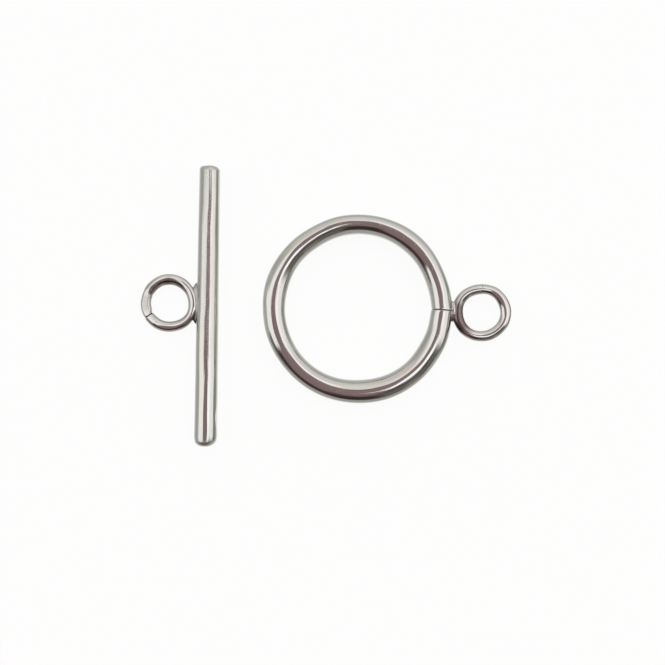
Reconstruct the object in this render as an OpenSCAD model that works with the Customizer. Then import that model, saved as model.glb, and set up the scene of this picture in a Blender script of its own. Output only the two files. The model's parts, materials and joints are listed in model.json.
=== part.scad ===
// Toggle clasp of round wire, lying open in its two halves on a flat surface.
// One half is a ring with a small eye soldered over its seam. The other is a
// bar with an eye of the same size soldered to its side.
// Millimetres. +X runs from the bar to the ring, +Y along the bar, +Z up, and
// the origin is the middle of the two halves, on the surface that they lie on.

/* [Ring] */
// Outside diameter of the ring
ring_outer_d = 16; // [12:0.5:24]
// Diameter of the ring's wire
ring_wire_d = 1.8; // [1.4:0.1:2.4]
// Length of the straight stretch of wire on each side of the ring's seam
ring_end_length = 1; // [0.6:0.1:1.6]
// Step down from the ring's round part to its straight wire ends
ring_end_step = 0.01; // [0.01:0.01:0.05]
// Gap between the ring's two wire ends
ring_seam_gap = 0.08; // [0.04:0.02:0.2]
// Size of the bevel round each wire end of the ring
ring_seam_bevel = 0.12; // [0.04:0.02:0.2]

/* [Bar] */
// Length of the bar
bar_length = 23.7; // [18:0.1:34]
// Diameter of the bar
bar_d = 1.8; // [1.4:0.1:2.4]
// Radius of the rounding on each end of the bar
bar_end_r = 0.4; // [0.1:0.1:0.6]

/* [Eyes] */
// Outside diameter of each eye
eye_outer_d = 4.85; // [4:0.05:6.5]
// Diameter of the eyes' wire
eye_wire_d = 0.85; // [0.7:0.05:1.1]
// Gap between the two wire ends of an eye
eye_seam_gap = 0.06; // [0.04:0.02:0.14]
// Direction of the seam in the ring's eye, in degrees from straight outward
ring_eye_seam = 90; // [60:5:120]
// Direction of the seam in the bar's eye, in degrees from straight outward
bar_eye_seam = 32; // [20:2:60]
// Depth that the ring's eye sinks into the ring
ring_eye_sink = 0.05; // [0.04:0.01:0.15]
// Depth that the bar's eye sinks into the bar
bar_eye_sink = 0.1; // [0.04:0.02:0.2]
// Distance of the bar's eye from the middle of the bar
bar_eye_offset = 0.2; // [0:0.1:1]

/* [Solder] */
// Radius of the hollow sides of the ring's solder, seen from above
ring_solder_r = 0.2; // [0.15:0.05:0.5]
// Radius of the hollow sides of the bar's solder, seen from above
bar_solder_r = 0.35; // [0.2:0.05:0.6]
// Depth that those hollow sides run into the wires
solder_bite = 0.07; // [0.05:0.01:0.09]
// Height of the solder where it meets a wire
solder_height = 0.66; // [0.5:0.02:0.68]
// Radius of the hollow along the top and the bottom of the solder
solder_dip_r = 0.8; // [0.6:0.1:1.2]
// Depth of that hollow
solder_dip = 0.06; // [0.04:0.01:0.1]

/* [Layout] */
// Gap between the bar and the ring as they lie
halves_gap = 3.8; // [2:0.1:8]
// Distance of the ring's centre from the line across the bar's middle
ring_shift = -0.2; // [-2:0.1:2]
// Angle that the ring half lies turned
ring_turn = -2; // [-6:0.5:6]
// Angle that the bar half lies turned
bar_turn = -0.9; // [-6:0.1:6]

/* [Hidden] */
$fn = 96;
// Spare length of each cutting body past what it cuts
cut_margin = 0.2;
steel_color = [0.80, 0.80, 0.78];

// Radii of the wires, of the rings' outlines and of their centre lines
ring_wire_r = ring_wire_d / 2;
ring_outer_r = ring_outer_d / 2;
ring_r = ring_outer_r - ring_wire_r;
bar_r = bar_d / 2;
eye_wire_r = eye_wire_d / 2;
eye_outer_r = eye_outer_d / 2;
eye_r = eye_outer_r - eye_wire_r;

// The straight ends leave the round part of the ring at this angle from the
// seam, start a little inside it, and reach this far out where they meet
ring_end_r = ring_wire_r - ring_end_step;
end_angle = atan(ring_end_length / ring_r);
end_lap = 0.1;
end_overrun = ring_end_r * tan(end_angle) + cut_margin;
seam_r = ring_r / cos(end_angle);
seam_outer_r = (ring_r + ring_end_r) / cos(end_angle);

// Distance of each eye's centre from the ring's centre and from the bar's axis
ring_eye_x = seam_outer_r - ring_eye_sink + eye_outer_r;
bar_eye_x = bar_r - bar_eye_sink + eye_outer_r;

// Centre of the solder's hollow side on the ring half, which runs into the
// outlines of the ring and of its eye
side_to_ring = ring_outer_r + ring_solder_r - solder_bite;
side_to_ring_eye = eye_outer_r + ring_solder_r - solder_bite;
ring_side_x = (side_to_ring ^ 2 - side_to_ring_eye ^ 2 + ring_eye_x ^ 2)
    / (2 * ring_eye_x);
ring_side_y = sqrt(side_to_ring ^ 2 - ring_side_x ^ 2);

// The same on the bar half
bar_side_x = bar_r + bar_solder_r - solder_bite;
side_to_bar_eye = eye_outer_r + bar_solder_r - solder_bite;
bar_side_y = sqrt(side_to_bar_eye ^ 2 - (bar_eye_x - bar_side_x) ^ 2);

// The bar half lies rolled over until the far side of its eye touches down
bar_eye_reach = bar_eye_x + eye_r;
bar_roll = asin((bar_r - eye_wire_r) / bar_eye_reach);

// The two halves' reach to the left and to the right of the bar's axis, and
// the places that put the origin in the middle between them
left_reach = bar_eye_reach * cos(bar_roll) + eye_wire_r;
bar_to_ring = bar_r + halves_gap + ring_outer_r;
right_reach = bar_to_ring + ring_eye_x * cos(ring_turn) + eye_outer_r;
bar_x = (left_reach - right_reach) / 2;
ring_x = bar_x + bar_to_ring;

// One straight wire end of the ring, cut off square at the seam
module ring_end() {
    difference() {
        rotate([0, 0, end_angle])
            translate([ring_r, end_lap, 0])
                rotate([90, 0, 0])
                    cylinder(
                        r = ring_end_r,
                        h = end_lap + ring_end_length + end_overrun
                    );
        translate([0, ring_seam_gap / 2 - ring_outer_r, -ring_wire_r - cut_margin])
            cube([
                seam_outer_r + cut_margin,
                ring_outer_r,
                ring_wire_d + 2 * cut_margin
            ]);
    }
}

// Bevels both wire ends of the ring at once
module seam_groove() {
    half_gap = ring_seam_gap / 2;
    spread = ring_seam_bevel + cut_margin;
    translate([seam_r, 0, 0])
        rotate([90, 0, 0])
            rotate_extrude()
                polygon([
                    [ring_wire_r - ring_seam_bevel, -half_gap],
                    [ring_wire_r + cut_margin, -half_gap - spread],
                    [ring_wire_r + cut_margin, half_gap + spread],
                    [ring_wire_r - ring_seam_bevel, half_gap]
                ]);
}

// The ring's wire, with its seam on the +X side
module ring_wire() {
    difference() {
        union() {
            rotate_extrude(angle = 360 - 2 * end_angle, start = end_angle)
                translate([ring_r, 0])
                    circle(r = ring_wire_r);
            ring_end();
            mirror([0, 1, 0])
                ring_end();
        }
        seam_groove();
    }
}

// An eye, open by a hair at its seam
module eye(seam) {
    gap_angle = 2 * asin(eye_seam_gap / (2 * eye_r));
    rotate_extrude(angle = 360 - gap_angle, start = seam + gap_angle / 2)
        translate([eye_r, 0])
            circle(r = eye_wire_r);
}

// The solder between an eye and what carries it: root is a point inside the
// carrying wire, side and side_r are the centre and the radius of a hollow
// side, and eye_x is the eye's centre
module solder(root, side, side_r, eye_x) {
    difference() {
        linear_extrude(height = solder_height, center = true)
            difference() {
                polygon([
                    [root.x, -root.y],
                    [side.x, -side.y],
                    [eye_x, 0],
                    [side.x, side.y],
                    [root.x, root.y]
                ]);
                for (y = [-side.y, side.y])
                    translate([side.x, y])
                        circle(r = side_r);
                translate([eye_x, 0])
                    circle(r = eye_r);
            }
        for (z = [-1, 1])
            translate([side.x, 0, z * (solder_height / 2 - solder_dip + solder_dip_r)])
                rotate([90, 0, 0])
                    cylinder(r = solder_dip_r, h = eye_outer_d, center = true);
    }
}

// The straight bar along Y, with rounded ends
module bar() {
    corner_x = bar_r - bar_end_r;
    translate([0, -bar_length / 2, 0])
        rotate([-90, 0, 0])
            rotate_extrude()
                union() {
                    square([corner_x, bar_length]);
                    translate([0, bar_end_r])
                        square([bar_r, bar_length - 2 * bar_end_r]);
                    for (y = [bar_end_r, bar_length - bar_end_r])
                        intersection() {
                            translate([corner_x, y])
                                circle(r = bar_end_r);
                            square([bar_r, bar_length]);
                        }
                }
}

// The ring half, lying on its wire
module toggle_ring() {
    color(steel_color)
        translate([ring_x, ring_shift, ring_wire_r])
            rotate([0, 0, ring_turn])
                union() {
                    ring_wire();
                    translate([ring_eye_x, 0, 0])
                        eye(ring_eye_seam);
                    solder(
                        ring_r / side_to_ring * [ring_side_x, ring_side_y],
                        [ring_side_x, ring_side_y],
                        ring_solder_r,
                        ring_eye_x
                    );
                }
}

// The bar half, lying on its bar and on the far side of its eye
module toggle_bar() {
    color(steel_color)
        translate([bar_x, 0, bar_r])
            rotate([0, 0, 180 + bar_turn])
                rotate([0, bar_roll, 0])
                    union() {
                        bar();
                        translate([bar_eye_x, -bar_eye_offset, 0])
                            eye(bar_eye_seam);
                        translate([0, -bar_eye_offset, 0])
                            solder(
                                [0, bar_side_y],
                                [bar_side_x, bar_side_y],
                                bar_solder_r,
                                bar_eye_x
                            );
                    }
}

toggle_ring();
toggle_bar();
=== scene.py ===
# %% [markdown]
# # A toggle clasp of polished wire
#
# The real clasp comes in two halves. One is a ring of round wire with a small eye soldered over its
# seam, the other is a straight bar with the same small eye soldered to its side. This lesson models
# both halves in Blender around a fixed frame, which says where they lie and how large they are. The
# frame's own solids could be shown with a new material, but wire that was bent, filed and soldered by
# hand shows it in every reflection, so both halves are modelled again here with those small signs.
# Everything is modelled in millimetres, because the parts are so small, and becomes metres at the end.

# %% Load the fixed frame
import json
import math

import bmesh
import bpy
from mathutils import Matrix, Vector, noise


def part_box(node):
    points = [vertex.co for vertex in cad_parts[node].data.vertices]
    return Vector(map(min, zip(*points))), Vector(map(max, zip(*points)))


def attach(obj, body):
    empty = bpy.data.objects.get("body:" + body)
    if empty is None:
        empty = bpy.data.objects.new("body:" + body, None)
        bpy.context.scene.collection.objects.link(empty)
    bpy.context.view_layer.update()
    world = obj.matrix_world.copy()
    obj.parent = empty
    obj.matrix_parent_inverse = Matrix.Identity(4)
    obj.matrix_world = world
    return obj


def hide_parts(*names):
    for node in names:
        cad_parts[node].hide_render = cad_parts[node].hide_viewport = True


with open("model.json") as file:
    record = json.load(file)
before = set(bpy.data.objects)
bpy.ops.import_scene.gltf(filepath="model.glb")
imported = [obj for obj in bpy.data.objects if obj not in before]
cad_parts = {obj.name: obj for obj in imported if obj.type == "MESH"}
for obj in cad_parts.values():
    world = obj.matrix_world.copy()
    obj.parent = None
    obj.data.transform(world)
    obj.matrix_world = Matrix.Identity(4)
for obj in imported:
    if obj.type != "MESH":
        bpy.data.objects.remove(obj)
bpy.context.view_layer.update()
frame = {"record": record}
MM = 0.001

# %% [markdown]
# ## Where the two halves lie
#
# The frame gives a box round each half and the place of each eye. The sizes could be typed in again,
# but read from the frame they can't disagree with it. The ring's outline, its centre and the thickness
# of its wire follow from its box, and the angle at which it lies turned from the way to its eye. Only
# the radius of an eye's wire is typed in, because the frame doesn't give it.

# %% Read the ring half off the frame
EYE_WIRE_R = 0.425


def box_mm(node):
    low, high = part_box(node)
    return low / MM, high / MM


mounts = {mount["name"]: mount for mount in frame["record"]["mounts"]}
ring_eye_at = Vector(mounts["ring_eye"]["pos_m"]) / MM
ring_low, ring_high = box_mm("toggle_ring")
WIRE_R = (ring_high.z - ring_low.z) / 2
RING_OUTER_R = (ring_high.y - ring_low.y) / 2
RING_R = RING_OUTER_R - WIRE_R
EYE_OUTER_R = ring_high.x - ring_eye_at.x
EYE_R = EYE_OUTER_R - EYE_WIRE_R
ring_at = Vector((ring_low.x + RING_OUTER_R, (ring_low.y + ring_high.y) / 2, WIRE_R))
ring_turn = math.atan2(ring_eye_at.y - ring_at.y, ring_eye_at.x - ring_at.x)
RING_EYE_X = (ring_eye_at - ring_at).length
PLACE_RING = Matrix.Translation(ring_at) @ Matrix.Rotation(ring_turn, 4, "Z")
print(f"ring {2 * RING_OUTER_R:.2f} across, wire {2 * WIRE_R:.2f}, eyes {2 * EYE_OUTER_R:.2f} across")
print(f"ring turned {math.degrees(ring_turn):.2f} degrees")

# %% [markdown]
# The bar half rests on its bar and on the far side of its thinner eye, so it lies tipped. The axis of
# its eye says which way and how far. The eye sinks a little into the bar and sits just off its middle.
# Those two lengths are typed in too.

# %% Read the bar half off the frame
BAR_EYE_SINK = 0.1
BAR_EYE_OFFSET = 0.2

bar_eye_at = Vector(mounts["bar_eye"]["pos_m"]) / MM
bar_eye_axis = Vector(mounts["bar_eye"]["axis"]).normalized()
bar_low, bar_high = box_mm("toggle_bar")
BAR_R = (bar_high.z - bar_low.z) / 2
BAR_LENGTH = bar_high.y - bar_low.y
BAR_EYE_X = BAR_R - BAR_EYE_SINK + EYE_OUTER_R
bar_turn = math.atan2(bar_eye_axis.y, bar_eye_axis.x)
bar_roll = math.acos(bar_eye_axis.z)
tip_bar = Matrix.Rotation(bar_turn, 4, "Z") @ Matrix.Rotation(bar_roll, 4, "Y")
bar_at = bar_eye_at - tip_bar @ Vector((BAR_EYE_X, -BAR_EYE_OFFSET, 0))
PLACE_BAR = Matrix.Translation(bar_at) @ tip_bar
print(f"bar turned {math.degrees(bar_turn):.2f} and tipped {math.degrees(bar_roll):.2f} degrees")
print("middle of the bar:", [round(value, 3) for value in bar_at])

# %% [markdown]
# ## The camera
#
# The clasp is seen from straight above, from fairly close, as when findings are photographed on a
# table. A lens could be guessed and the camera moved until the picture fits. Here the camera's height
# is chosen first, and the lens follows from the width that the picture takes in at the height of the
# wires' middles.

# %% Set up the camera
CAMERA_HEIGHT = 65
VIEW_WIDTH = 56.21
VIEW_CENTRE = Vector((0.586, -2.254, CAMERA_HEIGHT))
SENSOR = 36

camera_data = bpy.data.cameras.new("camera")
camera_data.sensor_width = SENSOR
camera_data.lens = SENSOR * (CAMERA_HEIGHT - WIRE_R) / VIEW_WIDTH
camera_data.clip_start = 0.005
camera_data.clip_end = 20
camera = bpy.data.objects.new("camera", camera_data)
camera.location = VIEW_CENTRE * MM
bpy.context.scene.collection.objects.link(camera)
bpy.context.scene.camera = camera
print(f"lens {camera_data.lens:.1f} mm")

# %% [markdown]
# ## Nodes in a few words
#
# The steel, the solder and the light all need the same few nodes over and over: a sum, a range that is
# mapped to another, a mix of two colours, a noise, a bump. They could be placed by hand in the editor,
# but small helpers make each material below read as a recipe. A socket is given either a value or the
# output of another node.

# %% Helpers for sums and ranges
def math_node(nodes, links, operation, *values):
    node = nodes.new("ShaderNodeMath")
    node.operation = operation
    for socket, value in zip(node.inputs, values):
        if isinstance(value, (int, float)):
            socket.default_value = value
        else:
            links.new(value, socket)
    return node.outputs["Value"]


def vector_node(nodes, links, operation, *values):
    node = nodes.new("ShaderNodeVectorMath")
    node.operation = operation
    for socket, value in zip(node.inputs, values):
        if isinstance(value, (tuple, Vector)):
            socket.default_value = value
        else:
            links.new(value, socket)
    return node.outputs


def split_node(nodes, links, vector):
    node = nodes.new("ShaderNodeSeparateXYZ")
    links.new(vector, node.inputs["Vector"])
    return node.outputs


def range_node(nodes, links, value, low, high, to_low, to_high, smooth=False):
    node = nodes.new("ShaderNodeMapRange")
    node.interpolation_type = "SMOOTHSTEP" if smooth else "LINEAR"
    node.inputs["From Min"].default_value = low
    node.inputs["From Max"].default_value = high
    node.inputs["To Min"].default_value = to_low
    node.inputs["To Max"].default_value = to_high
    links.new(value, node.inputs["Value"])
    return node.outputs["Result"]


# %% Helpers for colours, noise and bumps
def mix_node(nodes, links, share, below, above):
    node = nodes.new("ShaderNodeMix")
    node.data_type = "RGBA"
    links.new(share, node.inputs["Factor"])
    for socket, color in ((node.inputs[6], below), (node.inputs[7], above)):
        if isinstance(color, tuple):
            socket.default_value = color
        else:
            links.new(color, socket)
    return node.outputs[2]


def noise_node(nodes, links, vector, scale, detail, stretch=(1, 1, 1)):
    mapping = nodes.new("ShaderNodeMapping")
    mapping.inputs["Scale"].default_value = stretch
    links.new(vector, mapping.inputs["Vector"])
    node = nodes.new("ShaderNodeTexNoise")
    node.inputs["Scale"].default_value = scale
    node.inputs["Detail"].default_value = detail
    links.new(mapping.outputs["Vector"], node.inputs["Vector"])
    return node.outputs["Fac"]


def bump_node(nodes, links, height, depth, below=None):
    node = nodes.new("ShaderNodeBump")
    node.inputs["Distance"].default_value = depth
    links.new(height, node.inputs["Height"])
    if below is not None:
        links.new(below, node.inputs["Normal"])
    return node.outputs["Normal"]


# %% Start a material
def new_material(name, color, metallic):
    material = bpy.data.materials.new(name)
    material.use_nodes = True
    tree = material.node_tree
    shader = tree.nodes["Principled BSDF"]
    shader.inputs["Metallic"].default_value = metallic
    shader.inputs["Base Color"].default_value = color
    return material, tree.nodes, tree.links, shader


# %% [markdown]
# ## Polished steel wire
#
# Stainless wire is drawn through a die, which leaves fine lines along it, and then the finished clasp
# is tumbled until it shines. So the steel is close to a mirror: a bare metal of low roughness. What
# keeps it from looking computed is small. The fine lines and some wider ripples bend the reflections,
# soft smudges dull them in places, and a few pits catch the light. All of this could be painted in an
# image, but noise stays sharp at any distance. Lines and ripples are noise that is stretched along the
# wire, whose UV map counts millimetres along and round it, so they follow every bend. A span gives the
# two values of a noise between which its pattern fades in. Most of a noise lies within NOISE_SPAN.

# %% Describe the steel
STEEL = (0.66, 0.65, 0.63)
NOISE_SPAN = (0.3, 0.7)
LINES_PER_MM = 13
LINE_STRETCH = 0.3
LINE_DEPTH = 0.0018 * MM
LINE_ROUGHNESS = (0.02, 0.1)
RIPPLES_PER_MM = 3.2
RIPPLE_STRETCH = 0.22
RIPPLE_DEPTH = 0.013 * MM
SMUDGES_PER_M = 500
SMUDGE_SPAN = (0.45, 0.75)
SMUDGE_ROUGHNESS = 0.08
PITS_PER_M = 9000
PIT_SPAN = (0.7, 0.76)
PIT_DEPTH = 0.003 * MM
print("steel seen straight on:", STEEL)

# %% [markdown]
# Use and work leave marks on top. A haze is a stretch of the bar that dulls from one place along it to
# another. Where the bar's crown is rubbed, that haze comes in short dashes, as if dragged along the
# wire. A mark is a spot with a wandering edge, where pliers have dulled the wire or where brown is
# painted on, as painted dark reflection over a flame's tint. A spot could be a piece of geometry with its
# own material, but a distance in the shader is softer.

# %% Place hazes and marks
DASHES_ALONG = 9
DASHES_ROUND = 36
DASH_SPAN = (0.54, 0.62)
CROWN_FROM = 1.6
CROWN_FULL = 1.78
MARK_WANDER = 0.3
MARK_CORE = 0.35


def rubbed_crown(nodes, links, uv, height):
    dashes = noise_node(nodes, links, uv, 1, 2, (DASHES_ALONG, DASHES_ROUND, 1))
    dashed = range_node(nodes, links, dashes, *DASH_SPAN, 0, 1)
    crown = range_node(nodes, links, height, CROWN_FROM * MM, CROWN_FULL * MM, 0, 1, True)
    return math_node(nodes, links, "MULTIPLY", dashed, crown)


def mark_share(nodes, links, place, centre, reach, uneven):
    far = vector_node(nodes, links, "DISTANCE", place, Vector(centre) * MM)["Value"]
    most = MARK_WANDER * reach * MM
    wander = range_node(nodes, links, uneven, *NOISE_SPAN, -most, most)
    away = math_node(nodes, links, "ADD", far, wander)
    return range_node(nodes, links, away, MARK_CORE * reach * MM, reach * MM, 1, 0, True)


# %% Make the steel
def polished_wire(name, hazes=(), marks=()):
    color = (*STEEL, 1)
    material, nodes, links, shader = new_material(name, color, 1)
    uv_map = nodes.new("ShaderNodeUVMap")
    uv_map.uv_map = "wire"
    uv = uv_map.outputs["UV"]
    place = nodes.new("ShaderNodeTexCoord").outputs["Object"]
    axes = split_node(nodes, links, place)
    lines = noise_node(nodes, links, uv, 1, 3, (LINE_STRETCH, LINES_PER_MM, 1))
    ripples = noise_node(nodes, links, uv, 1, 2, (RIPPLE_STRETCH, RIPPLES_PER_MM, 1))
    smudges = noise_node(nodes, links, place, SMUDGES_PER_M, 3)
    pits = noise_node(nodes, links, place, PITS_PER_M, 2)

    lined = range_node(nodes, links, lines, *NOISE_SPAN, *LINE_ROUGHNESS)
    smudged = range_node(nodes, links, smudges, *SMUDGE_SPAN, 0, SMUDGE_ROUGHNESS)
    rough = math_node(nodes, links, "ADD", lined, smudged)
    for start, end, amount, rubbed in hazes:
        haze = range_node(nodes, links, axes["Y"], start * MM, end * MM, 0, amount, True)
        if rubbed:
            dashed = rubbed_crown(nodes, links, uv, axes["Z"])
            haze = math_node(nodes, links, "MULTIPLY", haze, dashed)
        rough = math_node(nodes, links, "ADD", rough, haze)
    # A mark's tint paints a dark reflection as well as a flame tint.
    for centre, reach, dull, reflection_and_tint in marks:
        share = mark_share(nodes, links, place, centre, reach, smudges)
        rough = math_node(nodes, links, "ADD", rough, math_node(nodes, links, "MULTIPLY", share, dull))
        if reflection_and_tint is not None:
            color = mix_node(nodes, links, share, color, (*reflection_and_tint, 1))
            links.new(color, shader.inputs["Base Color"])
    links.new(rough, shader.inputs["Roughness"])

    pitted = range_node(nodes, links, pits, *PIT_SPAN, 1, 0)
    normal = bump_node(nodes, links, ripples, RIPPLE_DEPTH)
    normal = bump_node(nodes, links, lines, LINE_DEPTH, normal)
    normal = bump_node(nodes, links, pitted, PIT_DEPTH, normal)
    links.new(normal, shader.inputs["Normal"])
    return material


# %% [markdown]
# ## Painted seam shade and solder
#
# The narrow bottom of a seam is painted nearly black, as painted shade, since little light gets into the
# gap. It is rough too, because no polishing reaches it. The solder itself is a little greyer and duller
# than the wire, with a fine orange peel where it froze.
# Flux leaves small brown stains on it, and the whole corner toward -Y is painted brown, as painted shade.
# Solder could share the wire's material, but then a joint would look like one cast piece.

# %% Make the painted seam shade
# Painted shade: the bottom of a seam is near-black metal, for the gap that light hardly reaches.
SEAM_SHADE_DARK = (0.012, 0.011, 0.010, 1)
SEAM_SHADE_PALE = (0.06, 0.052, 0.046, 1)
SEAM_ROUGHNESS = (0.5, 0.8)
GRAINS_PER_M = 9000


def seam_shade_metal(name):
    material, nodes, links, shader = new_material(name, SEAM_SHADE_DARK, 1)
    place = nodes.new("ShaderNodeTexCoord").outputs["Object"]
    grain = noise_node(nodes, links, place, GRAINS_PER_M, 3)
    links.new(mix_node(nodes, links, grain, SEAM_SHADE_DARK, SEAM_SHADE_PALE), shader.inputs["Base Color"])
    rough = range_node(nodes, links, grain, *NOISE_SPAN, *SEAM_ROUGHNESS)
    links.new(rough, shader.inputs["Roughness"])
    return material


# %% Make the solder
# This brown serves both the real flux stains and the painted shade in the solder's corner.
FLUX_AND_SHADE_BROWN = (0.13, 0.115, 0.095, 1)
PEEL_PER_M = 3200
PEEL_DEPTH = 0.008 * MM
PEEL_ROUGHNESS = (0.16, 0.3)
STAINS_PER_M = 2300
STAIN_SPAN = (0.52, 0.66)


def frozen_solder(name, color, stained, corner_shade=None):
    material, nodes, links, shader = new_material(name, color, 1)
    place = nodes.new("ShaderNodeTexCoord").outputs["Object"]
    peel = noise_node(nodes, links, place, PEEL_PER_M, 2)
    stains = noise_node(nodes, links, place, STAINS_PER_M, 3)
    share = range_node(nodes, links, stains, *STAIN_SPAN, 0, stained, True)
    # Past a span along Y the corner is painted brown as well, as painted shade.
    if corner_shade is not None:
        start, end, amount = corner_shade
        up = split_node(nodes, links, place)["Y"]
        corner_shaded = range_node(nodes, links, up, start * MM, end * MM, 0, amount, True)
        share = math_node(nodes, links, "MAXIMUM", share, corner_shaded)
    links.new(mix_node(nodes, links, share, color, FLUX_AND_SHADE_BROWN), shader.inputs["Base Color"])
    rough = range_node(nodes, links, peel, *NOISE_SPAN, *PEEL_ROUGHNESS)
    links.new(rough, shader.inputs["Roughness"])
    links.new(bump_node(nodes, links, peel, PEEL_DEPTH), shader.inputs["Normal"])
    return material


# %% [markdown]
# ## The clasp's own finishes, and painted reflections
#
# The hazes and marks are placed in the frame's millimetres. The bar's crown is rubbed toward +Y, and
# both of its ends are a little dull. Pliers have dulled the outer side of the bar's eye. Brown is painted
# on the ring's eye beside the solder and on the bar's eye along its +Y side, as painted dark reflection
# over a flame tint. One material could serve all the wire, but four small ones keep each mark on its own
# piece.
#
# A haze gives where along Y it starts, where it is full, how much roughness it adds and whether it is
# rubbed. A mark gives its centre, its reach, the roughness that it adds and its tint, if it has one. That
# tint is painted dark reflection as well as flame tint.

# %% Mix the finishes
# The bar eye's brown along its +Y side paints a dark reflection over a flame tint.
EYE_REFLECTION_AND_TINT = (0.25, 0.2, 0.18)
BAR_HAZES = (
    (-8.0, 3.0, 0.55, True),
    (8.0, 11.0, 0.1, False),
    (11.2, 11.7, 0.3, False),
    (-11.0, -11.6, 0.25, False),
)
# The ring eye's brown beside the solder paints a dark reflection over a heat tint.
HEAT_AND_REFLECTION_MARKS = (((11.25, -1.0, 1.1), 1.8, 0.14, (0.21, 0.165, 0.155)),)
EYE_MARKS = (
    ((-15.15, 0.3, 0.8), 1.1, 0.25, None),
    ((-14.35, 1.35, 0.25), 1.1, 0.05, EYE_REFLECTION_AND_TINT),
    ((-13.3, 1.85, 0.25), 1.1, 0.05, EYE_REFLECTION_AND_TINT),
    ((-12.3, 1.45, 0.3), 1.0, 0.05, EYE_REFLECTION_AND_TINT),
)
STAINED_SOLDER = (0.6, 0.58, 0.56, 1)
CLEAN_SOLDER = (0.46, 0.45, 0.42, 1)
# The bar solder's corner toward -Y is painted brown: painted shade.
SHADED_CORNER = (-0.2, -0.8, 0.75)
ring_finish = polished_wire("polished_ring")
bar_finish = polished_wire("polished_bar", BAR_HAZES)
ring_eye_finish = polished_wire("heat_and_reflection_eye", marks=HEAT_AND_REFLECTION_MARKS)
bar_eye_finish = polished_wire("pinched_eye", marks=EYE_MARKS)
seam_shade_finish = seam_shade_metal("painted_seam_shade")
ring_solder_finish = frozen_solder("stained_solder", STAINED_SOLDER, 0.6)
bar_solder_finish = frozen_solder("clean_solder", CLEAN_SOLDER, 0.1, SHADED_CORNER)
print("materials:", len(bpy.data.materials))

# %% [markdown]
# ## From a bmesh to a finished piece
#
# Each piece is modelled flat, with the centre of its ring or the middle of the bar at the origin. When
# its shape is done it is moved to its place and scaled to metres in one matrix, and its faces are turned
# outward. The object could carry that matrix instead, but patterns that read its coordinates would turn
# with it, so the object itself stays at the origin, unturned.

# %% Finish a piece
def finish_piece(bm, name, place, materials, node):
    bmesh.ops.transform(bm, matrix=Matrix.Scale(MM, 4) @ place, verts=bm.verts[:])
    bmesh.ops.recalc_face_normals(bm, faces=bm.faces[:])
    for face in bm.faces:
        face.smooth = True
    mesh = bpy.data.meshes.new(name)
    bm.to_mesh(mesh)
    bm.free()
    for material in materials:
        mesh.materials.append(material)
    piece = bpy.data.objects.new(name, mesh)
    bpy.context.scene.collection.objects.link(piece)
    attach(piece, "root")
    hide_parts(node)
    print(f"{name}: {len(mesh.polygons)} faces")
    return piece


# %% [markdown]
# The UV map unrolls a wire: U runs along it and V runs round it, both in millimetres. An unwrap from
# the editor would cut islands and stretch them, and here a formula knows every point's place. Both
# measures start again somewhere, so a face that straddles such a line is moved to one side of it by
# whole turns.

# %% Unroll a wire
def beside(value, first, period):
    return value + period * round((first - value) / period)


def unroll(bm, along, around, length, girth):
    layer = bm.loops.layers.uv.new("wire")
    for face in bm.faces:
        start = face.loops[0].vert.co
        for loop in face.loops:
            u = beside(along(loop.vert.co), along(start), length)
            v = beside(around(loop.vert.co), around(start), girth)
            loop[layer].uv = (u, v)


def unroll_ring(bm, ring_r, wire_r):
    def along(co):
        return ring_r * math.atan2(co.y, co.x)

    def around(co):
        return wire_r * math.atan2(-co.z, math.hypot(co.x, co.y) - ring_r)

    unroll(bm, along, around, 2 * math.pi * ring_r, 2 * math.pi * wire_r)


# %% [markdown]
# ## Bending a wire round
#
# A ring of wire is a circle, the wire's section, spun round the ring's axis. A torus would be quicker,
# but it has no ends, and these rings are cut wire that was bent until the ends met. Spin leaves the two
# ends open. Each end is then extruded on, by moving the new edge loop either straight ahead or until it
# lies in a plane, because the real wire is sawn across at the seam.

# %% Spin a wire and carry its ends on
def open_edges(bm):
    return [edge for edge in bm.edges if len(edge.link_faces) == 1]


def spin_wire(bm, ring_r, wire_r, start, sweep, steps, sides):
    at_start = Matrix.Rotation(start, 4, "Z")
    upright = Matrix.Translation((ring_r, 0, 0)) @ Matrix.Rotation(math.pi / 2, 4, "X")
    bmesh.ops.create_circle(
        bm, cap_ends=False, segments=sides, radius=wire_r, matrix=at_start @ upright
    )
    spun = bmesh.ops.spin(
        bm,
        geom=bm.verts[:] + bm.edges[:],
        cent=(0, 0, 0),
        axis=(0, 0, 1),
        dvec=(0, 0, 0),
        angle=sweep,
        steps=steps,
        use_merge=False,
        use_duplicate=False,
    )
    last = [part for part in spun["geom_last"] if isinstance(part, bmesh.types.BMEdge)]
    first = [edge for edge in open_edges(bm) if edge not in set(last)]
    return first, last


def extrude_loop(bm, loop):
    made = bmesh.ops.extrude_edge_only(bm, edges=loop)["geom"]
    verts = [part for part in made if isinstance(part, bmesh.types.BMVert)]
    faces = [part for part in made if isinstance(part, bmesh.types.BMFace)]
    edges = [part for part in made if isinstance(part, bmesh.types.BMEdge)]
    rim = [edge for edge in edges if len(edge.link_faces) == 1]
    return rim, verts, faces


def extrude_to_seam(bm, loop, tangent, seam_y, steps):
    for step in range(steps):
        loop, verts, faces = extrude_loop(bm, loop)
        for vert in verts:
            vert.co += tangent * (seam_y - vert.co.y) / tangent.y / (steps - step)
    return loop


# %% [markdown]
# A cut end is never quite sharp. The bevel operator could round it, but its faces would have to be found
# again to give some of them another material. So the end is rounded by a few more small extrusions that
# shrink as they go forward, along a quarter circle. The last of them and the face that closes the wire
# are the bottom of the seam, so they get the second material, the seam's painted shade.

# %% Round the end of a wire
ROUND_STEPS = 6


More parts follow.
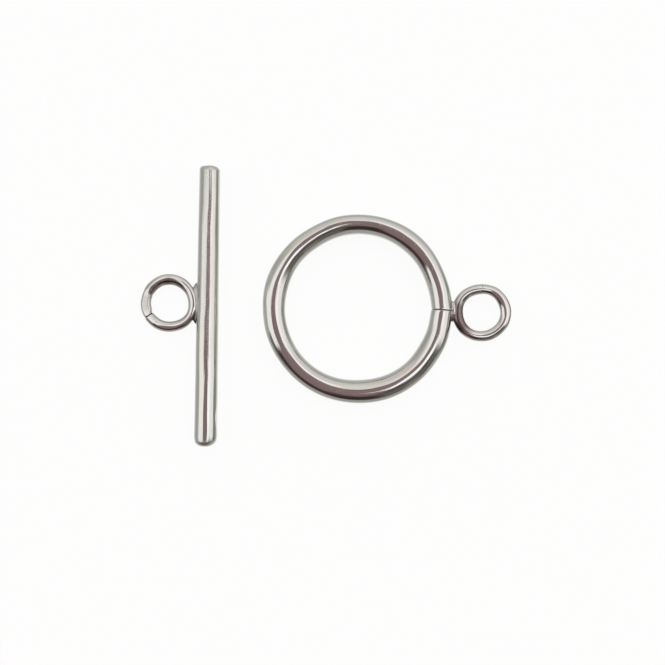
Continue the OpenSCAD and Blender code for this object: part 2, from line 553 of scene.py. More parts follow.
def shrink_loop(bm, verts, share):
    middle = sum((vert.co for vert in verts), Vector()) / len(verts)
    to_middle = Matrix.Translation(-middle)
    bmesh.ops.scale(bm, vec=(share, share, share), space=to_middle, verts=verts)


def round_end(bm, loop, forward, wire_r, rounding, shaded_steps):
    turn_of = [math.pi / 2 * step / ROUND_STEPS for step in range(ROUND_STEPS + 1)]
    for step in range(ROUND_STEPS):
        radius_a = wire_r - rounding * (1 - math.cos(turn_of[step]))
        radius_b = wire_r - rounding * (1 - math.cos(turn_of[step + 1]))
        move = rounding * (math.sin(turn_of[step + 1]) - math.sin(turn_of[step]))
        loop, verts, faces = extrude_loop(bm, loop)
        bmesh.ops.translate(bm, vec=forward * move, verts=verts)
        shrink_loop(bm, verts, radius_b / radius_a)
        # The last steps and the cap take the near-black seam metal, as painted shade in the gap.
        if step >= ROUND_STEPS - shaded_steps:
            for face in faces:
                face.material_index = 1
    cap = bmesh.ops.contextual_create(bm, geom=loop)["faces"]
    for face in cap:
        face.material_index = 1


# %% [markdown]
# ## Small signs of handwork
#
# Nothing bent by hand is a perfect circle. Soft noise of very low height takes the machine look off
# the reflections. Other small moves are made the same way: each vertex is moved by a share that eases
# in and out, so that no step shows. Proportional editing does this by hand; a function can be repeated.

# %% Ease and ripple a wire
def ease(value):
    value = min(1.0, max(0.0, value))
    return value * value * (3 - 2 * value)


def bell(value, middle, width):
    return math.exp(-(((value - middle) / width) ** 2))


def hand_bent(bm, middle_of, height, size, seed):
    for vert in bm.verts:
        outward = (vert.co - middle_of(vert.co)).normalized()
        wave = noise.noise(vert.co / size + Vector((seed, 0, 0)))
        vert.co += outward * wave * height


def outward_of(co):
    return Vector((co.x, co.y, 0)).normalized()


def middle_of_ring(ring_r):
    def middle(co):
        return outward_of(co) * ring_r

    return middle


# %% [markdown]
# On a ring the moves are listed by angle. A row of such a list gives the angle in degrees, counted from
# the ring's own +X toward its +Y, then the height of the move and its reach in degrees to each side. The
# same kind of row thickens the wire, bends the ring out of round, or makes the wire's crown lean outward.

# %% Move a ring by angle
def near(co, at, reach):
    away = math.atan2(co.y, co.x) - math.radians(at)
    away = math.degrees(math.atan2(math.sin(away), math.cos(away)))
    return bell(away, 0, reach)


def sum_of(places, co):
    return sum(height * near(co, at, reach) for at, height, reach in places)


def thicken(bm, ring_r, girth, spots):
    for vert in bm.verts:
        outward = outward_of(vert.co)
        across = vert.co.dot(outward) - ring_r
        vert.co += outward * across * (girth - 1 + sum_of(spots, vert.co))


def out_of_round(bm, bends):
    for vert in bm.verts:
        vert.co += outward_of(vert.co) * sum_of(bends, vert.co)


def lean(bm, wire_r, leans):
    for vert in bm.verts:
        vert.co += outward_of(vert.co) * sum_of(leans, vert.co) * vert.co.z / wire_r


# %% [markdown]
# ## The big ring
#
# The ring is cut from a coil of wire and closed by hand, so it has a butt seam. Near the seam the wire
# stays a little straight, and its two straight ends meet at an obtuse angle under the eye.

# %% Model the ring's wire
END_LENGTH = 1.0
RING_ROUNDINGS = (0.11, 0.05)
SEAM_Y = 0.06
RING_STEPS = 300
RING_SIDES = 72
END_STEPS = 8

end_angle = math.atan(END_LENGTH / RING_R)
ring_sweep = 2 * math.pi - 2 * end_angle
ring_bm = bmesh.new()
loops = spin_wire(ring_bm, RING_R, WIRE_R, end_angle, ring_sweep, RING_STEPS, RING_SIDES)
for loop, side, rounding in zip(loops, (-1, 1), RING_ROUNDINGS):
    tangent = Matrix.Rotation(-side * end_angle, 3, "Z") @ Vector((0, side, 0))
    loop = extrude_to_seam(ring_bm, loop, tangent, SEAM_Y - side * rounding, END_STEPS)
    round_end(ring_bm, loop, Vector((0, side, 0)), WIRE_R, rounding, 2)
print("ring wire:", len(ring_bm.faces), "faces")

# %% [markdown]
# Then the ring gets its signs of handwork. One wire end stands a little inward of the other, and the
# seam runs a trifle aslant. The wire is a tenth wider than it is high on the ring's near side and
# nearly as much narrower on its far side, and the ring is out of round by up to a tenth of a
# millimetre. A texture could bend the reflections too, but not the outline, so the mesh is moved. That
# is how one tells bent wire from a torus.

# %% Bend the ring by hand
END_INSET = 0.065
INSET_REACH = 3.5
SEAM_SLOPE = -0.04
SLOPE_REACH = 2
RING_GIRTH = 1.02
RING_WAVE = 0.012
RING_WAVE_SIZE = 2.4
RING_SEED = 3.0
RING_SPOTS = (
    (28, -0.035, 22),
    (88, -0.1, 28),
    (120, -0.03, 14),
    (168, 0.08, 14),
    (198, 0.045, 14),
    (285, 0.1, 30),
    (333, 0.07, 20),
)
RING_BENDS = (
    (23, -0.1, 16),
    (60, 0.01, 16),
    (92, -0.02, 14),
    (122, -0.08, 16),
    (165, 0.02, 14),
    (272, -0.06, 18),
    (330, -0.06, 12),
)
RING_LEANS = ((-3, -0.09, 16), (100, 0.08, 30), (172, 0.03, 14), (270, 0.05, 25))

thicken(ring_bm, RING_R, RING_GIRTH, RING_SPOTS)
lean(ring_bm, WIRE_R, RING_LEANS)
out_of_round(ring_bm, RING_BENDS)
for vert in ring_bm.verts:
    if vert.co.x > 0:
        vert.co.y += SEAM_SLOPE * (vert.co.x - RING_R) * ease(1 - abs(vert.co.y) / SLOPE_REACH)
    if vert.co.x > 0 and vert.co.y < SEAM_Y:
        vert.co.x -= END_INSET * ease(1 + (vert.co.y - SEAM_Y) / INSET_REACH)
unroll_ring(ring_bm, RING_R, WIRE_R)
hand_bent(ring_bm, middle_of_ring(RING_R), RING_WAVE, RING_WAVE_SIZE, RING_SEED)
across = [max(vert.co[axis] for vert in ring_bm.verts) for axis in (0, 1)]
print("ring reaches", [round(value, 3) for value in across], "along X and Y")

# %% [markdown]
# ## The eyes
#
# Both eyes are small jump rings, made like the big ring but from thinner wire. One could be modelled
# and copied, but each real one was closed by hand, so one function makes both from their own lists. The
# ring's eye is closed well and its seam is a hairline. The bar's eye shows its seam.

# %% Model an eye
EYE_GIRTH = 1.05
EYE_STEPS = 240
EYE_SIDES = 56
EYE_WAVE = 0.03
EYE_WAVE_SIZE = 1.1


def eye(seam, rounding, shaded_steps, spots, bends, lean_x, seed):
    bm = bmesh.new()
    gap = 2 * rounding / EYE_R
    sweep = 2 * math.pi - gap
    loops = spin_wire(bm, EYE_R, EYE_WIRE_R, seam + gap / 2, sweep, EYE_STEPS, EYE_SIDES)
    forward = Vector((-math.sin(seam), math.cos(seam), 0))
    for loop, side in zip(loops, (-1, 1)):
        round_end(bm, loop, forward * side, EYE_WIRE_R, rounding, shaded_steps)
    unroll_ring(bm, EYE_R, EYE_WIRE_R)
    thicken(bm, EYE_R, EYE_GIRTH, spots)
    out_of_round(bm, bends)
    for vert in bm.verts:
        vert.co.x += lean_x * vert.co.z / EYE_WIRE_R
    hand_bent(bm, middle_of_ring(EYE_R), EYE_WAVE, EYE_WAVE_SIZE, seed)
    return bm


# %% Make both eyes
RING_EYE_SEAM = math.radians(90)
BAR_EYE_SEAM = math.radians(32)
RING_EYE_SPOTS = ((-10, 0.08, 60), (80, -0.04, 40))
RING_EYE_BENDS = ((0, 0.05, 50), (60, 0.03, 25), (100, -0.05, 25), (150, 0.05, 28), (225, 0.03, 30))
BAR_EYE_SPOTS = ((40, 0.05, 50), (150, -0.06, 30))
BAR_EYE_BENDS = ((5, 0.05, 60), (150, 0.1, 35))
BAR_EYE_LEANS = ((-90, 0.09, 45),)
ring_eye_bm = eye(RING_EYE_SEAM, 0.03, 2, RING_EYE_SPOTS, RING_EYE_BENDS, -0.035, 5.0)
bar_eye_bm = eye(BAR_EYE_SEAM, 0.1, 3, BAR_EYE_SPOTS, BAR_EYE_BENDS, -0.045, 9.0)
lean(bar_eye_bm, EYE_WIRE_R, BAR_EYE_LEANS)
print("each eye:", len(ring_eye_bm.faces), "faces")

# %% [markdown]
# The pliers that closed the bar's eye have warped it and flattened the stretch beside its seam, on top
# and along its inner side. The wire's other end stands a little outward and lower. A plane could cut
# the flat, but its edge would be sharp. Here whatever stands above the flat is pressed down to it, more
# and more toward the seam.

# %% Flatten the stretch beside the bar eye's seam
EYE_WARP = 0.035
FLAT_FROM = math.radians(-34)
FLAT_SOFT = math.radians(16)
FLAT_HEIGHT = 0.365
FLAT_SLOPE = -0.05
FLAT_INSIDE = 1.5
END_SHIFT = 0.05
SHIFT_REACH = math.radians(24)

for vert in bar_eye_bm.verts:
    vert.co.z += EYE_WARP * math.sin(math.pi * vert.co.x / EYE_R)
    angle = math.atan2(vert.co.y, vert.co.x)
    before_seam = (angle - FLAT_FROM) / FLAT_SOFT
    if before_seam > 0 and angle < BAR_EYE_SEAM:
        across = vert.co.dot(outward_of(vert.co)) - EYE_R
        over = max(0, vert.co.z - FLAT_HEIGHT - FLAT_SLOPE * across)
        vert.co.z -= over * ease(before_seam)
        inner = ease(-across / EYE_WIRE_R) * ease(before_seam)
        vert.co.x += inner * max(0, FLAT_INSIDE - (EYE_R - EYE_WIRE_R) * math.cos(angle))
    past_seam = (angle - BAR_EYE_SEAM) / SHIFT_REACH
    if 0 <= past_seam < 1:
        vert.co += (outward_of(vert.co) - Vector((0, 0, 1))) * END_SHIFT * ease(1 - past_seam)
print("bar eye reaches", round(max(vert.co.z for vert in bar_eye_bm.verts), 3), "above its middle")

# %% [markdown]
# ## The bar
#
# The bar is a straight length of the same heavy wire. A cylinder with bevelled ends would do for two
# equal ends, but this bar has one end that is filed and one that is pinched narrower. So it is half its
# outline spun round its own axis. The outline starts as one vertex. It is extended straight by
# extruding it, and turned round a corner by spinning it.

# %% Draw an outline
def extend(bm, vert, move, steps):
    for step in range(steps):
        vert = bmesh.ops.extrude_vert_indiv(bm, verts=[vert])["verts"][0]
        bmesh.ops.translate(bm, vec=move / steps, verts=[vert])
    return vert


def corner(bm, vert, centre, steps):
    spun = bmesh.ops.spin(
        bm,
        geom=[vert],
        cent=centre,
        axis=(0, 0, 1),
        dvec=(0, 0, 0),
        angle=-math.pi / 2,
        steps=steps,
        use_merge=False,
        use_duplicate=False,
    )
    return next(part for part in spun["geom_last"] if isinstance(part, bmesh.types.BMVert))


# %% Spin the bar
PINCHED_ROUNDING = 0.46
FILED_ROUNDING = 0.36
BAR_TRIM = 0.05
PINCHED_MORE = 0.02
BAR_SIDES = 96
BAR_STEPS = 220
CORNER_STEPS = 10
FACE_STEPS = 5

half = BAR_LENGTH / 2 - BAR_TRIM
pinched_x = BAR_R - PINCHED_ROUNDING
pinched_y = half + PINCHED_MORE - PINCHED_ROUNDING
filed_x = BAR_R - FILED_ROUNDING
filed_y = half - FILED_ROUNDING
bar_bm = bmesh.new()
point = bar_bm.verts.new((0, half + PINCHED_MORE, 0))
point = extend(bar_bm, point, Vector((pinched_x, 0, 0)), FACE_STEPS)
point = corner(bar_bm, point, (pinched_x, pinched_y, 0), CORNER_STEPS)
point = extend(bar_bm, point, Vector((0, -pinched_y - filed_y, 0)), BAR_STEPS)
point = corner(bar_bm, point, (filed_x, -filed_y, 0), CORNER_STEPS)
point = extend(bar_bm, point, Vector((-filed_x, 0, 0)), FACE_STEPS)
bmesh.ops.spin(
    bar_bm,
    geom=bar_bm.verts[:] + bar_bm.edges[:],
    cent=(0, 0, 0),
    axis=(0, 1, 0),
    dvec=(0, 0, 0),
    angle=2 * math.pi,
    steps=BAR_SIDES,
    use_merge=True,
    use_duplicate=False,
)
bmesh.ops.remove_doubles(bar_bm, verts=bar_bm.verts[:], dist=0.001)
print("bar:", len(bar_bm.faces), "faces")

# %% [markdown]
# The bar is unrolled as the rings are, and its ripples need its middle line. That line stops short of
# the ends, so that the rounded corners move outward all round.

# %% Unroll the bar
def along_bar(co):
    return co.y


def around_bar(co):
    return BAR_R * math.atan2(-co.z, co.x)


def middle_of_bar(co):
    return Vector((0, min(pinched_y, max(-filed_y, co.y)), 0))


unroll(bar_bm, along_bar, around_bar, 4 * BAR_LENGTH, 2 * math.pi * BAR_R)
print("bar unrolled:", round(BAR_LENGTH, 2), "by", round(2 * math.pi * BAR_R, 2))

# %% [markdown]
# The bar carries its own marks of work. It widens toward the pinched end, by up to a tenth, and its
# crown leans in steps. The pinched end is narrower in its last millimetre and its far corner is a
# little aslant, and so is the other end, which was filed. The crown is worn toward the pinched end, and
# a fine ridge is left toward the filed end, where it draws one bright line. The far flank has a shallow
# dent. Each mark could be sculpted, but one pass over the vertices keeps all of them in numbers.
#
# In the bar's own frame its eye is on the +X side, so the far flank is at -X, and the filed end is at
# -Y. A row of BAR_LEANS gives where a step starts, counted toward the filed end, its length and how far
# it leans.

# %% Mark the bar
BAR_GIRTH = 1.035
BAR_BIAS = 0.063
BAR_LEANS = ((-1.5, 2, 0.05), (6.2, 3, 0.1), (-3.2, -3, 0.07))
BAR_WAVE = 0.009
BAR_WAVE_SIZE = 2.0
BAR_SEED = 7.0
WORN = 0.006
WORN_X = -0.05
WORN_WIDTH = 0.3
RIDGE = 0.03
RIDGE_X = -0.035
RIDGE_WIDTH = 0.105
RIDGE_FROM = 6.8
RIDGE_RISE = 3.2
PINCH_LENGTH = 0.9
PINCH = 0.17
FILED = 0.13
FILED_TOP = 0.09
SLANT = 0.09
FILED_LENGTH = 1.2
SLANT_FROM = 0.2
DENT_Y = 9.4
DENT_LENGTH = 0.75
DENT_DEPTH = 0.06


def bar_lean(toward_filed):
    return sum(height * ease((toward_filed - start) / length) for start, length, height in BAR_LEANS)


for vert in bar_bm.verts:
    pinched = max(0, 1 - (half - vert.co.y) / PINCH_LENGTH)
    filed = ease(1 - (half + vert.co.y) / FILED_LENGTH)
    slanted = ease(1 - (half - vert.co.y) / FILED_LENGTH)
    dented = bell(vert.co.y, DENT_Y, DENT_LENGTH)
    if vert.co.z > 0:
        worn = bell(vert.co.x, WORN_X, WORN_WIDTH)
        ridge = bell(vert.co.x, RIDGE_X, RIDGE_WIDTH)
        vert.co.z -= WORN * (1 + vert.co.y / half) * worn
        vert.co.z += RIDGE * ease((-vert.co.y - RIDGE_FROM) / RIDGE_RISE) * ridge
        vert.co.x -= bar_lean(-vert.co.y) * vert.co.z / BAR_R
    vert.co.x = max(vert.co.x, DENT_DEPTH * dented - BAR_R)
    vert.co.x *= (BAR_GIRTH + BAR_BIAS * vert.co.y / half) * (1 - PINCH * pinched**2)
    far_side = ease((-vert.co.x / BAR_R - SLANT_FROM) / (1 - SLANT_FROM))
    vert.co.y += (FILED * filed - SLANT * slanted) * far_side
    vert.co.y += FILED_TOP * filed * ease(vert.co.z / BAR_R)
hand_bent(bar_bm, middle_of_bar, BAR_WAVE, BAR_WAVE_SIZE, BAR_SEED)
bar_ends = [vert.co.y for vert in bar_bm.verts]
print("bar now runs from", round(min(bar_ends), 3), "to", round(max(bar_ends), 3))

# %% [markdown]
# ## Solder that flows
#
# Molten solder creeps into the corner between two wires and freezes with a hollow surface. A boolean
# union would leave a sharp line there, and metaballs would swell over the wires. So the lump is made
# from the wires themselves: short lengths of both are copied and made a touch thinner, a blob is laid
# in the corner, and a voxel remesh fuses the three. Smoothing then draws the surface tight, as surface
# tension does. Over the wires the lump ends up just under their surface, so only the hollow corners
# show.

# %% Copy a short length of wire
UNDER = 0.05


def short_length(bm, offset, planes):
    part = bm.copy()
    part.normal_update()
    for vert in part.verts:
        vert.co += offset
    for point, outward in planes:
        bmesh.ops.bisect_plane(
            part,
            geom=part.verts[:] + part.edges[:] + part.faces[:],
            dist=0.0001,
            plane_co=point,
            plane_no=outward,
            clear_outer=True,
            clear_inner=False,
        )
        bmesh.ops.holes_fill(part, edges=open_edges(part), sides=0)
    bmesh.ops.recalc_face_normals(part, faces=part.faces[:])
    part.normal_update()
    for vert in part.verts:
        vert.co -= vert.normal * UNDER
    return part


def add_blob(bm, centre, size):
    shape = Matrix.Translation(centre) @ Matrix.Diagonal((*size, 1))
    bmesh.ops.create_icosphere(bm, subdivisions=4, radius=1, matrix=shape)


# %% [markdown]
# The remesh can leave tiny specks beside the lump. They could be picked out by their size, but it is
# simpler to keep only the largest part. It is found by walking from a vertex along its edges until
# nothing new turns up.

# %% Keep the largest part
def keep_largest(bm):
    left = set(bm.verts)
    largest = set()
    while left:
        part = set()
        front = {left.pop()}
        while front:
            part |= front
            front = {edge.other_vert(vert) for vert in front for edge in vert.link_edges} - part
        left -= part
        largest = max(largest, part, key=len)
    strays = [vert for vert in bm.verts if vert not in largest]
    bmesh.ops.delete(bm, geom=strays, context="VERTS")


# %% Fuse the lump and draw it tight
VOXEL = 0.035


def flow(parts, passes):
    lump = bpy.data.meshes.new("lump")
    for part in parts:
        whole = bmesh.new()
        whole.from_mesh(lump)
        spare = bpy.data.meshes.new("spare")
        part.to_mesh(spare)
        part.free()
        whole.from_mesh(spare)
        whole.to_mesh(lump)
        whole.free()
        bpy.data.meshes.remove(spare)
    holder = bpy.data.objects.new("lump", lump)
    bpy.context.scene.collection.objects.link(holder)
    remesh = holder.modifiers.new("fuse", "REMESH")
    remesh.mode = "VOXEL"
    remesh.voxel_size = VOXEL
    ready = holder.evaluated_get(bpy.context.evaluated_depsgraph_get())
    fused = bmesh.new()
    fused.from_mesh(ready.to_mesh())
    ready.to_mesh_clear()
    bpy.data.objects.remove(holder)
    bpy.data.meshes.remove(lump)
    keep_largest(fused)
    for step in range(passes):
        bmesh.ops.smooth_vert(
            fused,
            verts=fused.verts[:],
            factor=0.5,
            use_axis_x=True,
            use_axis_y=True,
            use_axis_z=True,
        )
    return fused


# %% [markdown]
# The ring's eye has only a little solder, in a narrow neck over the seam, with one crumb of it left
# standing. The crumb could be a small ball of its own, but as a second blob it melts into the neck.

# %% Solder the ring's eye on
RING_NECK = 1.5
RING_EYE_TAKEN = 0.9
RING_PASSES = 25
to_ring_eye = Vector((RING_EYE_X, 0, 0))
ring_face = RING_EYE_X - EYE_OUTER_R
RING_PLANES = (
    ((0, RING_NECK, 0), (0, 1, 0)),
    ((0, -RING_NECK, 0), (0, -1, 0)),
    ((RING_R, 0, 0), (-1, 0, 0)),
)
RING_EYE_PLANES = (((ring_face + RING_EYE_TAKEN, 0, 0), (1, 0, 0)),)
blobs = bmesh.new()
add_blob(blobs, (ring_face + 0.02, 0, 0), (0.34, 0.9, 0.4))
add_blob(blobs, (ring_face + 0.05, -0.2, 0.33), (0.12, 0.13, 0.1))
ring_solder = flow(
    [
        short_length(ring_bm, Vector(), RING_PLANES),
        short_length(ring_eye_bm, to_ring_eye, RING_EYE_PLANES),
        blobs,
    ],
    RING_PASSES,
)
print("ring solder:", len(ring_solder.faces), "faces")

# %% [markdown]
# The bar's eye has much more solder, which runs a good way along the bar on both sides and holds the
# eye a little off it. A row of small blobs could fill that corner, but one long blob does, because the
# smoothing draws its ends out thin.

# %% Solder the bar's eye on
BAR_NECK = 2.7
BAR_EYE_STEP = 0.07
BAR_EYE_TAKEN = 1.3
BAR_PASSES = 40
to_bar_eye = Vector((BAR_EYE_X + BAR_EYE_STEP, -BAR_EYE_OFFSET, 0))
bar_face = to_bar_eye.x - EYE_OUTER_R
BAR_PLANES = (
    ((0, BAR_NECK - BAR_EYE_OFFSET, 0), (0, 1, 0)),
    ((0, -BAR_NECK - BAR_EYE_OFFSET, 0), (0, -1, 0)),
    ((0, 0, 0), (-1, 0, 0)),
)
BAR_EYE_PLANES = (((bar_face + BAR_EYE_TAKEN, 0, 0), (1, 0, 0)),)
blobs = bmesh.new()
add_blob(blobs, (bar_face + 0.1, -BAR_EYE_OFFSET, 0), (0.46, 1.8, 0.33))
bar_solder = flow(
    [
        short_length(bar_bm, Vector(), BAR_PLANES),
        short_length(bar_eye_bm, to_bar_eye, BAR_EYE_PLANES),
        blobs,
    ],
    BAR_PASSES,
)
print("bar solder:", len(bar_solder.faces), "faces")

# %% [markdown]
# ## Put the pieces in their places
#
# Six pieces stand for the two halves: a wire, an eye and the solder for each. They could be joined into
# one mesh per half, but as separate pieces each keeps its own finish and UV map.

# %% Finish all six pieces
place_ring_eye = PLACE_RING @ Matrix.Translation(to_ring_eye)
place_bar_eye = PLACE_BAR @ Matrix.Translation(to_bar_eye)
finish_piece(ring_bm, "ring_wire", PLACE_RING, (ring_finish, seam_shade_finish), "toggle_ring")
finish_piece(ring_eye_bm, "ring_eye", place_ring_eye, (ring_eye_finish, seam_shade_finish), "toggle_ring")
finish_piece(ring_solder, "ring_solder", PLACE_RING, (ring_solder_finish,), "toggle_ring")
finish_piece(bar_bm, "bar_rod", PLACE_BAR, (bar_finish,), "toggle_bar")
finish_piece(bar_eye_bm, "bar_eye", place_bar_eye, (bar_eye_finish, seam_shade_finish), "toggle_bar")
finish_piece(bar_solder, "bar_solder", PLACE_BAR, (bar_solder_finish,), "toggle_bar")

# %% [markdown]
# ## The floor
#
# Findings are photographed on a pale sheet that is lit so evenly that it keeps almost no shadow. A white
# floor under lamps would shade off toward its edges. This one glows, as a light table does, and takes
# only a faint shadow from the wires. The steel doesn't mirror it, because the light tent, which comes
# next, reaches all the way round.

# %% Lay the floor
FLOOR_SIZE = 1.5
FLOOR_DROP = 0.02 * MM
FLOOR_GREY = 0.09
FLOOR_GLOW = 0.93
floor_bm = bmesh.new()
bmesh.ops.create_grid(
    floor_bm,
    x_segments=1,
    y_segments=1,
    size=FLOOR_SIZE,
    matrix=Matrix.Translation((0, 0, -FLOOR_DROP)),
)
floor_mesh = bpy.data.meshes.new("floor")
floor_bm.to_mesh(floor_mesh)
floor_bm.free()
floor = bpy.data.objects.new("floor", floor_mesh)
bpy.context.scene.collection.objects.link(floor)
floor.visible_glossy = False

grey = (FLOOR_GREY, FLOOR_GREY, FLOOR_GREY, 1)
floor_finish, nodes, links, shader = new_material("pale_sheet", grey, 0)
shader.inputs["Roughness"].default_value = 1
shader.inputs["Specular IOR Level"].default_value = 0
shader.inputs["Emission Color"].default_value = (1, 1, 1, 1)
shader.inputs["Emission Strength"].default_value = FLOOR_GLOW
floor_mesh.materials.append(floor_finish)
print("floor:", 2 * FLOOR_SIZE, "metres wide")

# %% [markdown]
# ## The light tent
#
# A mirror shows what stands round it, so polished steel looks as good as its surroundings. Around small
# findings that is a tent of pale cloth, with darker things beyond it: the camera straight above and the
# dark side of the room. Area lights and cards could stand in the scene, but they would have to be very
# far away to look the same in both halves. The world shader paints them by direction instead. Each
# place is given by an azimuth, counted from +X toward +Y, and by a polar angle, which is 0 straight up,
# 90 at the horizon and 180 straight down. A little noise wobbles every edge, as cloth does.

# %% Wobble the direction
WOBBLE = 0.12
WOBBLE_SCALE = 4
world = bpy.data.worlds.new("light_tent")
bpy.context.scene.world = world
world.use_nodes = True
nodes = world.node_tree.nodes
links = world.node_tree.links
nodes.clear()
direction = nodes.new("ShaderNodeTexCoord").outputs["Generated"]
wobble = nodes.new("ShaderNodeTexNoise")
wobble.inputs["Scale"].default_value = WOBBLE_SCALE
wobble.inputs["Detail"].default_value = 3
links.new(direction, wobble.inputs["Vector"])
most = (WOBBLE, WOBBLE, WOBBLE)
back = (-WOBBLE / 2, -WOBBLE / 2, -WOBBLE / 2)
shift = vector_node(nodes, links, "MULTIPLY_ADD", wobble.outputs["Color"], most, back)["Vector"]
wobbled = vector_node(nodes, links, "ADD", direction, shift)["Vector"]
seen = vector_node(nodes, links, "NORMALIZE", wobbled)["Vector"]
print("directions wobble by up to", WOBBLE / 2)


# %% Read the direction as two angles
def world_math(operation, *values):
    return math_node(nodes, links, operation, *values)


axes = split_node(nodes, links, seen)
polar = world_math("MULTIPLY", world_math("ARCCOSINE", axes["Z"]), 180 / math.pi)
turned = world_math("ARCTAN2", axes["Y"], axes["X"])
azimuth = world_math("MULTIPLY", turned, 180 / math.pi)
print("world nodes so far:", len(nodes))

# %% [markdown]
# Tones are easiest to choose as they should look in the steel. The steel takes a third of the light
# away, so each tone is divided by the steel's own colour. The tent's cloth is a ramp from straight up
# to straight down: bright above, greyer at the horizon, light again on the sheet below.

# %% Choose tones and hang the cloth
def seen_in_steel(tone):
    linear = []
    for byte, steel in zip(tone, STEEL):
        value = byte / 255
        value = value / 12.92 if value <= 0.04045 else ((value + 0.055) / 1.055) ** 2.4
        linear.append(value / steel)
    return (*linear, 1)


CLOTH = (
    (0, (208, 206, 200)),
    (44, (208, 205, 198)),
    (60, (202, 200, 192)),
    (78, (186, 184, 176)),
    (90, (174, 172, 165)),
    (100, (166, 165, 159)),
    (114, (165, 165, 160)),
    (130, (180, 180, 176)),
    (150, (204, 204, 200)),
    (180, (225, 225, 222)),
)
ramp = nodes.new("ShaderNodeValToRGB")
links.new(world_math("DIVIDE", polar, 180), ramp.inputs["Fac"])
elements = ramp.color_ramp.elements
while len(elements) < len(CLOTH):
    elements.new(0.5)
for element, (angle, tone) in zip(elements, CLOTH):
    element.position = angle / 180
    element.color = seen_in_steel(tone)
tent = ramp.outputs["Color"]
print("tones of cloth:", len(elements))


# %% [markdown]
# What stands before the cloth is laid over it one by one. A card covers a range of azimuths and a range
# of polar angles, with soft sides and soft ends. A disc covers a circle of directions round its middle.
# Both give a mask from 0 to 1, and a mix of colours does the rest. A picture of a studio could light the
# steel as well, but here each card can be moved and toned alone.

# %% Lay cards and discs over the cloth
def lay_over(below, tone, mask):
    return mix_node(nodes, links, mask, below, seen_in_steel(tone))


def card(below, tone, at, wide, low, high, soft_side=4, soft_end=4):
    turned_by = world_math("WRAP", world_math("SUBTRACT", azimuth, at), 180, -180)
    away = world_math("ABSOLUTE", turned_by)
    side = range_node(nodes, links, away, wide - soft_side, wide + soft_side, 1, 0, True)
    start = range_node(nodes, links, polar, low - soft_end, low + soft_end, 0, 1, True)
    end = range_node(nodes, links, polar, high - soft_end, high + soft_end, 1, 0, True)
    mask = world_math("MULTIPLY", side, world_math("MULTIPLY", start, end))
    return lay_over(below, tone, mask)


def disc(below, tone, at, tilt, radius, soft):
    sideways = Matrix.Rotation(math.radians(at), 3, "Z") @ Matrix.Rotation(math.radians(tilt), 3, "Y")
    dot = vector_node(nodes, links, "DOT_PRODUCT", seen, sideways @ Vector((0, 0, 1)))["Value"]
    angle = world_math("MULTIPLY", world_math("ARCCOSINE", dot), 180 / math.pi)
    mask = range_node(nodes, links, angle, radius - soft, radius + soft, 1, 0, True)
    return lay_over(below, tone, mask)


# %% [markdown]
# First come the brighter and warmer panels of the tent, then the duller strip that runs round it at the
# horizon. A card's line gives its tone, the azimuth of its middle, half its width, the two polar angles
# between which it hangs, and how soft its sides and ends are. A disc's line gives its tone, the azimuth
# and polar angle of its middle, its radius, and how soft its edge is.

# %% Brighten the cloth and dull the horizon
tent = card(tent, (224, 223, 217), 0, 30, 26, 75, 14, 5)
tent = card(tent, (228, 227, 221), 180, 32, 26, 70, 14, 4)
tent = card(tent, (192, 185, 176), 125, 26, 44, 78, 12, 10)
tent = card(tent, (244, 243, 239), 12, 26, 24, 40, 10, 4)
tent = card(tent, (238, 236, 231), 50, 24, 26, 42, 8, 4)
tent = disc(tent, (238, 228, 223), 85, 4, 25, 4)
tent = card(tent, (164, 162, 154), 150, 16, 54, 100, 8, 8)
tent = card(tent, (132, 131, 122), 0, 26, 84, 120, 10, 4)
tent = card(tent, (152, 150, 144), 180, 36, 76, 112, 10, 6)
tent = card(tent, (150, 148, 143), -98, 60, 84, 120, 8, 9)
print("world nodes so far:", len(nodes))

# %% [markdown]
# The room's dark side comes next, round -Y. It is the broad dark band on the outer flank of the ring's
# near half and on the inner flank of its far half, because both face that way. Its upper part is a
# lighter, warmer brown and its lower part nearly black, and greyer cards soften its sides.

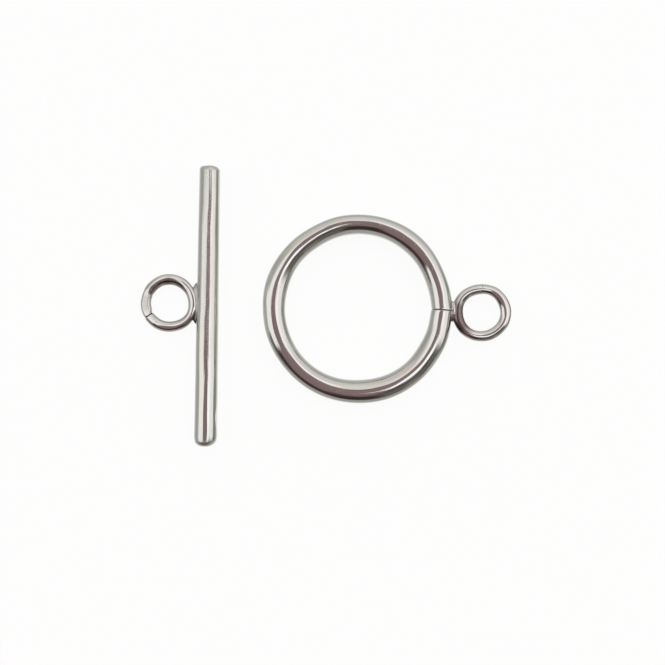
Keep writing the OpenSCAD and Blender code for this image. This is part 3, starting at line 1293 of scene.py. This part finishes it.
# %% Darken one side of the room
tent = card(tent, (104, 88, 86), -98, 56, 4, 84, 4, 5)
tent = card(tent, (124, 101, 98), -100, 50, 15, 44, 10, 8)
tent = card(tent, (98, 90, 89), -157, 8, 62, 86, 5, 5)
tent = card(tent, (56, 48, 47), -124, 30, 50, 78, 6, 6)
tent = card(tent, (50, 44, 44), -89, 18, 36, 78, 6, 6)
tent = card(tent, (92, 89, 83), -47, 26, 30, 88, 8, 5)
tent = card(tent, (70, 68, 64), -50, 22, 27, 44, 9, 6)
tent = card(tent, (102, 100, 93), -16, 9, 76, 98, 6, 5)
tent = card(tent, (120, 118, 106), -50, 5, 62, 84, 3, 5)
print("world nodes so far:", len(nodes))

# %% [markdown]
# Last comes what is straight above: the camera and what holds it, which draw the thin dark line along
# every crown, and two bright gaps beside them.

# %% Hold the camera over the clasp
tent = disc(tent, (122, 106, 105), 85, 5.5, 19.5, 2.5)
tent = disc(tent, (118, 102, 101), 215, 13, 13, 2.5)
tent = disc(tent, (232, 230, 225), 148, 27, 10, 3)
tent = card(tent, (252, 251, 249), -38, 28, 9, 25, 4, 3)
print("world nodes:", len(nodes))

# %% [markdown]
# The camera itself sees a plain pale surround past the floor's edge. It could see the tent, but then
# the cards would stand in the picture from a low angle. The picture keeps the tones as they are chosen,
# so the view is the standard one, with no film look over it.

# %% Light the scene
PALE = (0.985, 0.985, 0.98, 1)
tent_light = nodes.new("ShaderNodeBackground")
links.new(tent, tent_light.inputs["Color"])
plain_light = nodes.new("ShaderNodeBackground")
plain_light.inputs["Color"].default_value = PALE
light_path = nodes.new("ShaderNodeLightPath")
choose = nodes.new("ShaderNodeMixShader")
links.new(light_path.outputs["Is Camera Ray"], choose.inputs["Fac"])
links.new(tent_light.outputs["Background"], choose.inputs[1])
links.new(plain_light.outputs["Background"], choose.inputs[2])
output = nodes.new("ShaderNodeOutputWorld")
links.new(choose.outputs["Shader"], output.inputs["Surface"])
bpy.context.scene.view_settings.view_transform = "Standard"
print("view:", bpy.context.scene.view_settings.view_transform)
